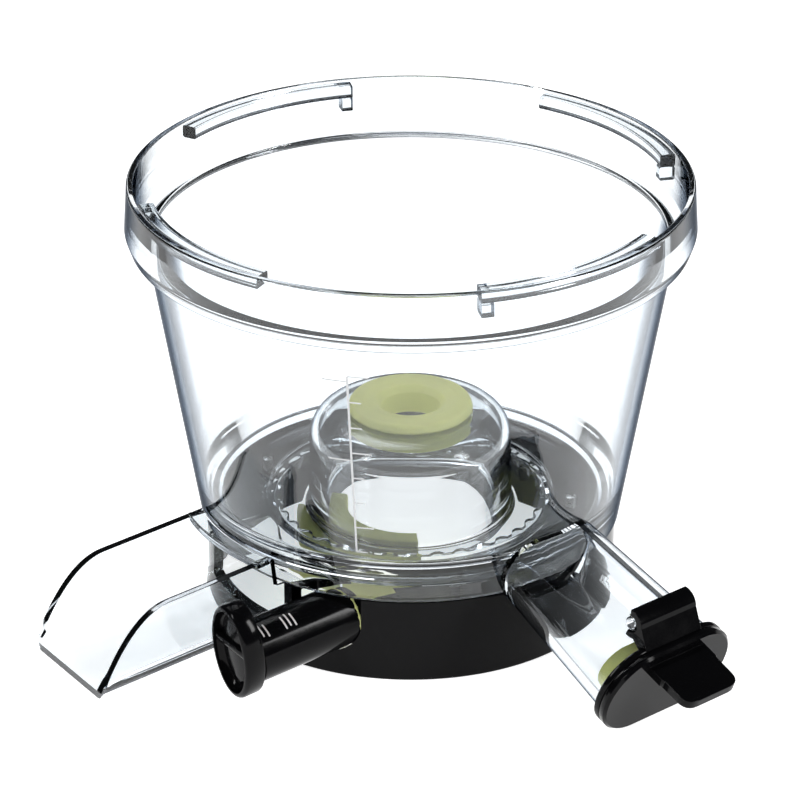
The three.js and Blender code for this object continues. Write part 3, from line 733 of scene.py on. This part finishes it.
def spout_cap():
    """Oval lid with a stepped rim, and the lever that hooks on the hinge bar."""
    wide, tall = MOUTH_HALF_WIDTH, MOUTH_HALF_HEIGHT
    lid = oval_skin("lid", [
        (wide + 1.2, tall + 1.2, GAP), (wide + 2.1, tall + 2.1, GAP + 0.7), (wide + 2.1, tall + 2.1, 2.3),
        (wide + 1.5, tall + 1.5, 2.5), (wide + 1.5, tall + 1.5, 2.9), (wide + 2.1, tall + 2.1, 3.1),
        (wide + 2.1, tall + 2.1, 4.5), (wide + 1.4, tall + 1.4, 5.3),
    ])
    lever = prism("lever", lever_outline(), -HINGE_HALF_LENGTH, HINGE_HALF_LENGTH, SPOUT @ side_view())
    corners = prism("corners", rounded_tab(), MOUTH_HALF_HEIGHT - 6, HINGE_UP + 8, SPOUT @ top_view())
    carve(lever, corners, how="INTERSECT")
    bevel(lever, 0.7, 3, 40)
    cap = even_shading(join("spout_cap_black", lid, lever))
    return finish_piece(cap, BLACK, "cap", ("spout_cap",))


def cap_plug():
    """Soft plug inside the cap, domed at its end."""
    wide = BORE_HALF_WIDTH - GAP
    tall = BORE_HALF_HEIGHT - GAP
    plug = oval_skin("cap_plug_soft", [
        (wide - 3.2, tall - 3.2, -5.6), (wide - 2.2, tall - 2.2, -5.4), (wide - 1.8, tall - 1.8, -4.9),
        (wide - 1.1, tall - 1.1, -2), (wide - 0.3, tall - 0.3, 0.2),
    ])
    return finish_piece(plug, GREEN, "cap", ("cap_plug",))


# ---------------------------------------------------------------- seal, base, packing
def shaft_seal():
    """Domed collar on the hub, with a neck and a flange that hold it in its hole."""
    bore = SHAFT_BORE
    under = HUB_TOP - 2.8
    over = HUB_TOP - 0.2
    neck = SEAL_RADIUS - 2.8
    seal = lathe("shaft_seal_soft", [
        (bore, under - 3, 0.5), (neck + 2.6, under - 3, 1.1), (neck + 2.6, under, 0.4),
        (neck, under, 0.2), (neck, over, 0.2), (SEAL_RADIUS, over, 0.9),
        (SEAL_RADIUS - 1, SEAL_TOP - 0.4, 1.4), (SEAL_RADIUS - 5, SEAL_TOP, 3),
        (bore + 1.4, SEAL_TOP - 0.5, 1.2), (bore, SEAL_TOP - 2.4, 0.8),
    ], segments=128, steps=8)
    return finish_piece(seal, GREEN, "bowl", ("shaft_seal",))


def base_ring():
    """Black ring with its deck, opened for the chute and for the control's barrel."""
    inside = BASE_RADIUS - 3
    deck_inner = GROOVE + 1.5
    deck = 2.5
    ring = lathe("base_ring_black", [
        (inside, 0, 0.3), (BASE_RADIUS, 0, 0.6), (BASE_RADIUS, DECK_TOP, 0.6), (deck_inner, DECK_TOP, 0.5),
        (deck_inner, DECK_TOP - deck, 0.5), (inside, DECK_TOP - deck, 0.5),
    ])
    room = BARREL_RADIUS + GAP
    bore_start, bore_end = 20, BASE_RADIUS + 5
    bore = lathe("bore", [
        (0.01, bore_start), (room, bore_start), (room, bore_end), (0.01, bore_end),
    ], CONTROL, MEDIUM)
    tall = 40
    notch_centre = (-BASE_RADIUS, -CONTROL_OFFSET, CONTROL_HEIGHT + tall / 2)
    notch = box_piece("notch", (BASE_RADIUS, 2 * room, tall), notch_centre, CHUTE)
    window_centre = (-BASE_RADIUS, 0, CHUTE_FLOOR - GAP + tall / 2)
    window = box_piece("window", (BASE_RADIUS, 2 * (CHUTE_HALF + GAP), tall), window_centre, CHUTE)
    carve(ring, bore, notch, window)
    even_shading(bevel(ring, 0.35, 2, 50))
    return finish_piece(ring, BLACK, "bowl", ("base_ring",))


def outlet_packing():
    """Clip of soft packing: a U swept part-way round the hub's bottom edge, with a flap at its end."""
    steps = 40
    inside = HUB_RADIUS - WALL - 1.3
    outer = HUB_RADIUS + 4
    low = HUB_BOTTOM - 7
    top = HUB_BOTTOM + 1.6
    section = rounded([
        (inside - 6, low + 1, 0.8), (outer, low, 0.8), (outer, top, 0.8), (HUB_RADIUS + GAP, top, 0.4),
        (HUB_RADIUS + GAP, HUB_BOTTOM - GAP, 0.3), (inside - GAP, HUB_BOTTOM - GAP, 0.3),
        (inside - GAP, HUB_BOTTOM + 6, 0.8), (inside - 6, HUB_BOTTOM + 6, 1.2),
    ])
    rings = []
    for k in range(steps + 1):
        turn = math.radians(PACKING_START + PACKING_SWEEP * k / steps)
        rings.append([(p.x * math.cos(turn), p.x * math.sin(turn), p.y) for p in section])
    clip = skin("clip", rings)
    flap_sweep = 7
    flap_start = PACKING_START + PACKING_SWEEP - flap_sweep
    flap = sector("flap", outer - 0.5, HUB_RADIUS + 9, flap_start, flap_sweep, low, top, 0.8)
    packing = join("outlet_packing_soft", clip, flap)
    return finish_piece(packing, GREEN, "bowl", ("outlet_packing",))


# ---------------------------------------------------------------- pulp pressure control
def control_barrel():
    """Hollow barrel, closed at its inner end but for the rod's hole."""
    start, end = BARREL_START, BARREL_END
    rod_hole, hollow = 2.7, 6.3
    barrel = lathe("control_barrel_black", [
        (rod_hole, start, 0.3), (BARREL_RADIUS, start, 0.8), (BARREL_RADIUS, end, 0.2),
        (hollow, end, 0.2), (hollow, start + 3, 0.3), (rod_hole, start + 3, 0.3),
    ], CONTROL, 96)
    return finish_piece(barrel, BLACK, "control", ("control_barrel",))


def cap_oval(inset, along, count=72):
    """Upright oval of the control's cap, inset inside its edge."""
    return [(CAP_LIFT - (CAP_HALF_HEIGHT - inset) * math.sin(2 * math.pi * k / count),
             (CAP_HALF_WIDTH - inset) * math.cos(2 * math.pi * k / count), along) for k in range(count)]


def control_cap():
    """Upright oval pull with a sunk face and a bar across it."""
    face = CONTROL_FACE
    back = face - CAP_THICK
    body = skin("control_cap_black", [
        cap_oval(0.7, back), cap_oval(0.2, back + 0.2), cap_oval(0, back + 0.7), cap_oval(0, face - 1.1),
        cap_oval(0.25, face - 0.5), cap_oval(0.8, face - 0.1), cap_oval(1.2, face),
    ], CONTROL)
    well = skin("well", [
        cap_oval(2.6, face - 2.4), cap_oval(1.7, face - 1.6), cap_oval(1.5, face + 1),
    ], CONTROL)
    carve(body, well)
    bar = box_piece("bar", (2.4, 2 * CAP_HALF_WIDTH - 2.6, 2.0), (4.4, 0, face - 1.5), CONTROL)
    bevel(bar, 0.6, 3)
    dome = skin("dome", [
        cap_oval(3.2, face - 2.45), cap_oval(4.4, face - 1.9), cap_oval(6.4, face - 1.6),
    ], CONTROL)
    cap = join("control_cap_black", body, bar, dome)
    return finish_piece(cap, BLACK, "control", ("control_cap",))


def barrel_marks():
    """Two printed position marks on top of the barrel, each a row of short strokes."""
    marks = []
    radius = BARREL_RADIUS + 0.03
    first, apart, pitch = BASE_RADIUS + 4.5, 8.7, 1.5
    for number in range(2):
        for row, angle in enumerate((18, 32)):
            for k in range(3):
                along = first + apart * number + pitch * (k - 1)
                wide = 2.6 if (k + row) % 2 else 1.7
                marks.append(curved_patch(f"mark_{number}_{row}_{k}", radius, -angle, wide, 0.5, along))
    piece = join("barrel_marks", *marks)
    return finish_piece(piece, MARK_INK, "control")


def curved_patch(name, radius, angle, wide, long, along, steps=6):
    """Thin patch on the barrel: wide round it, long along it, both in mm."""
    half = math.degrees(wide / 2 / radius)
    points = []
    for k in range(steps + 1):
        turn = math.radians(angle - half + 2 * half * k / steps)
        for end in (-long / 2, long / 2):
            points.append((radius * math.cos(turn), radius * math.sin(turn), along + end))
    faces = [(2 * k, 2 * k + 1, 2 * k + 3, 2 * k + 2) for k in range(steps)]
    return make_piece(name, points, faces, CONTROL)


# ---------------------------------------------------------------- printed scale on the wall
def wall_stroke(name, start, end, low, high, steps=8):
    """Thin printed stroke on the wall between two angles (degrees) and two heights (mm)."""
    points = []
    for k in range(steps + 1):
        turn = math.radians(start + (end - start) * k / steps)
        for z in (low, high):
            radius = wall_outer(z) + 0.06
            points.append((radius * math.cos(turn), radius * math.sin(turn), z))
    faces = [(2 * k, 2 * k + 1, 2 * k + 3, 2 * k + 2) for k in range(steps)]
    return make_piece(name, points, faces)


def wall_scale():
    """Printed scale without figures: a line, ticks with every third one long, and two cup marks."""
    line = -143.4
    low, spacing, count = 41.5, 8.1, 8
    half_stroke = 0.22
    strokes = [wall_stroke("line", line - 0.25, line + 0.25, low, low + spacing * (count - 1))]
    for k in range(count):
        z = low + spacing * k
        reach = 4.6 if k % 3 == 1 else 2.8
        strokes.append(wall_stroke(f"tick_{k}", line, line + reach, z - half_stroke, z + half_stroke))
    for k, place in enumerate((3.7, 6.8)):
        z = low + place * spacing
        strokes.append(wall_stroke(f"cup_{k}", line - 5.5, line, z - half_stroke, z + half_stroke))
    return finish_piece(join("wall_scale", *strokes), WALL_INK, "bowl")


# ---------------------------------------------------------------- studio
def add_floor():
    """Wide white floor that glows a little, as a light table does."""
    size, drop = 30000, -0.02
    points = [(x * size, y * size, drop) for x, y in ((-1, -1), (1, -1), (1, 1), (-1, 1))]
    floor = make_piece("studio_floor", points, [(0, 1, 2, 3)])
    material, nodes, links, shader = new_material("studio_white")
    paper = add_noise(nodes, links, 3, 2)
    white = tint(nodes, links, paper.outputs["Fac"], (0.9, 0.9, 0.9), (0.93, 0.93, 0.93))
    links.new(white, shader.inputs["Base Color"])
    shader.inputs["Roughness"].default_value = 0.9
    shader.inputs["Specular IOR Level"].default_value = 0.0
    shader.inputs["Emission Color"].default_value = (1, 1, 1, 1)
    shader.inputs["Emission Strength"].default_value = 0.9
    floor.data.materials.append(material)


def add_light(name, size_x, size_y, power, place, target):
    """Soft rectangular light, in metres and watts, that faces its target."""
    data = bpy.data.lights.new(name, "AREA")
    data.shape = "RECTANGLE"
    data.size, data.size_y = size_x, size_y
    data.energy = power
    light = bpy.data.objects.new(name, data)
    light.location = place
    light.rotation_euler = (Vector(target) - Vector(place)).to_track_quat("-Z", "Y").to_euler()
    bpy.context.scene.collection.objects.link(light)


def add_studio():
    """Dim surroundings, a soft light overhead, and a strip light on each side for the black pieces."""
    world = bpy.data.worlds.new("studio")
    world.use_nodes = True
    background = world.node_tree.nodes["Background"]
    background.inputs["Color"].default_value = (0.9, 0.95, 1.0, 1)
    background.inputs["Strength"].default_value = 0.06
    bpy.context.scene.world = world
    centre = AXIS * MM
    add_light("overhead", 1.0, 1.0, 8, centre + Vector((0.2, 0.9, 1.5)), centre)
    add_light("right_box", 0.2, 0.5, 7, centre + Vector((0.40, -0.84, 0.56)), centre + Vector((0, 0, 0.03)))
    add_light("left_box", 0.15, 0.6, 6, centre + Vector((-1.0, 0.1, 0.8)), centre + Vector((0, 0, 0.05)))


def add_camera():
    """Stands off the bowl's axis between the chute and the spout, 26 degrees above the horizon."""
    turn = math.radians(-40)
    tilt_down = 0.45873
    aim_aside = 0.0033
    distance, height = 905 * MM, 504.02 * MM
    data = bpy.data.cameras.new("camera")
    data.sensor_width = 36
    data.lens = 160.911
    camera = bpy.data.objects.new("camera", data)
    camera.location = AXIS * MM + Vector((distance * math.sin(turn), -distance * math.cos(turn), height))
    camera.rotation_euler = (math.pi / 2 - tilt_down, 0, turn + aim_aside)
    bpy.context.scene.collection.objects.link(camera)
    bpy.context.scene.camera = camera


# ---------------------------------------------------------------- build everything
def dress_carried_nodes():
    """CAD nodes that stay as they are get their material."""
    carried = {"control_rod": STEEL, "control_pin": STEEL, "control_tip": GREEN, "control_ring_seal": GREEN}
    carried.update({f"base_screw_{k}": STEEL for k in range(1, 5)})
    for node, material in carried.items():
        node_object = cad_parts[node]
        node_object.data.materials.clear()
        node_object.data.materials.append(material)


def build():
    add_camera()
    add_floor()
    add_studio()
    clear_bowl()
    collar_lugs()
    toothed_ring()
    pulp_chute()
    chute_hood()
    juice_spout()
    spout_cap()
    cap_plug()
    shaft_seal()
    base_ring()
    outlet_packing()
    control_barrel()
    control_cap()
    barrel_marks()
    wall_scale()
    dress_carried_nodes()
    bpy.context.scene.view_settings.view_transform = "Standard"


build()
